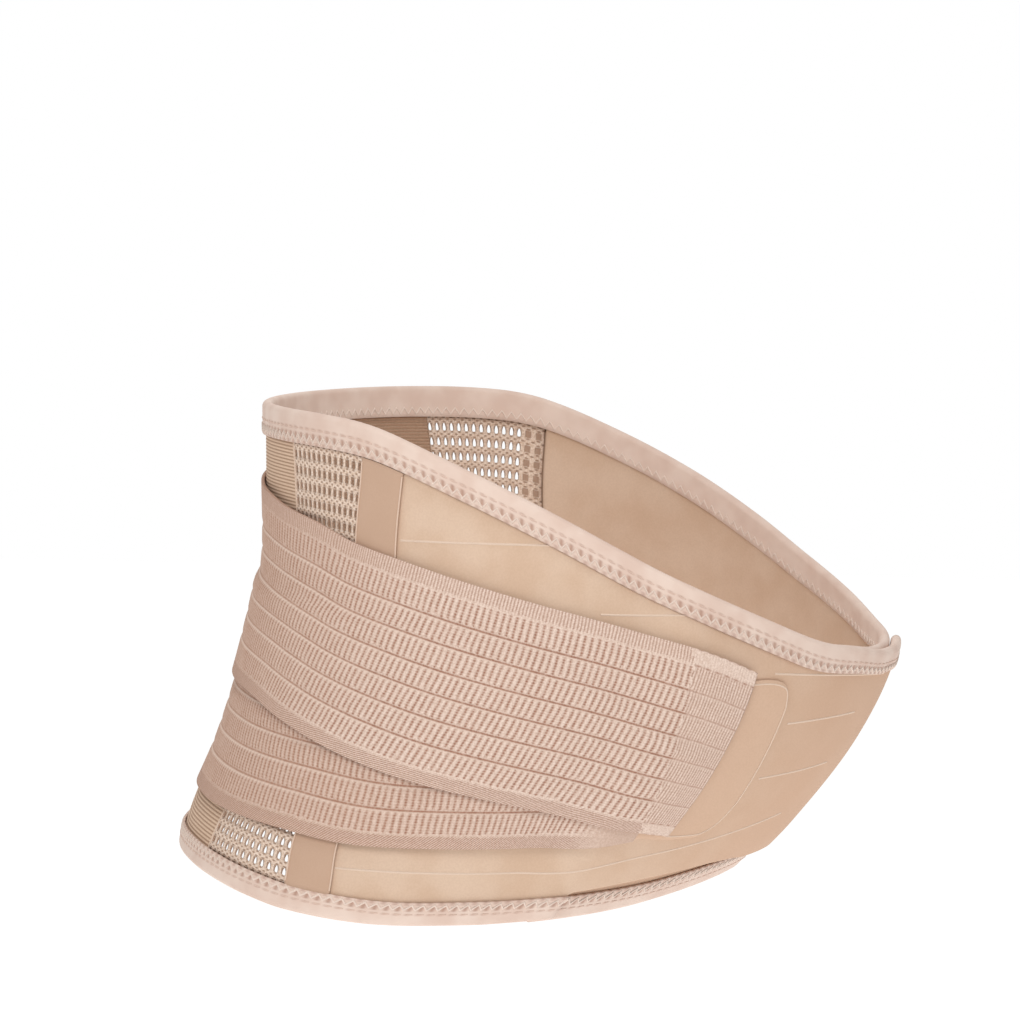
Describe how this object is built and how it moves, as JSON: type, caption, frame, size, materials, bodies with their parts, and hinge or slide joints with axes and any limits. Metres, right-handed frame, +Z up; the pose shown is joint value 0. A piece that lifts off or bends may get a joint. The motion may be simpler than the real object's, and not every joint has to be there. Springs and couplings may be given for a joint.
{
  "type": "maternity support belt",
  "caption": "Wrap-round maternity support belt in its worn shape, with bound rims, mesh side panels, a lapped front closure and overlapping elastic side straps.",
  "frame": {"origin": "on the axis of the body that wears the belt, about half-way up the belt, where the worn belt is held", "axes": "+Z up along the wearer's body, -Y towards the wearer's front, -X towards the wearer's right side"},
  "size_m": [0.371, 0.3377, 0.2326],
  "materials": {
    "ribbed_elastic": "ribbed knit, matt",
    "open_mesh": "open warp-knit mesh, matt",
    "laminated_panel": "brushed laminated knit, matt",
    "seam_tape": "smooth woven tape, matt",
    "binding": "folded elastic binding, satin",
    "tab_cloth": "brushed laminated knit, matt",
    "strap_elastic": "channelled woven elastic, matt"
  },
  "bodies": {
    "root": {"back_panel": "ribbed_elastic", "mesh_panel_right": "open_mesh", "mesh_panel_left": "open_mesh", "front_panel_right": "laminated_panel", "front_panel_left": "laminated_panel", "seam_tape_right": "seam_tape", "seam_tape_left": "seam_tape", "top_binding": "binding", "bottom_binding": "binding", "fastening_tab_right": "tab_cloth", "fastening_tab_left": "tab_cloth", "lower_strap_right": "strap_elastic", "lower_strap_left": "strap_elastic", "upper_strap_right": "strap_elastic", "upper_strap_left": "strap_elastic"}
  },
  "joints": []
}
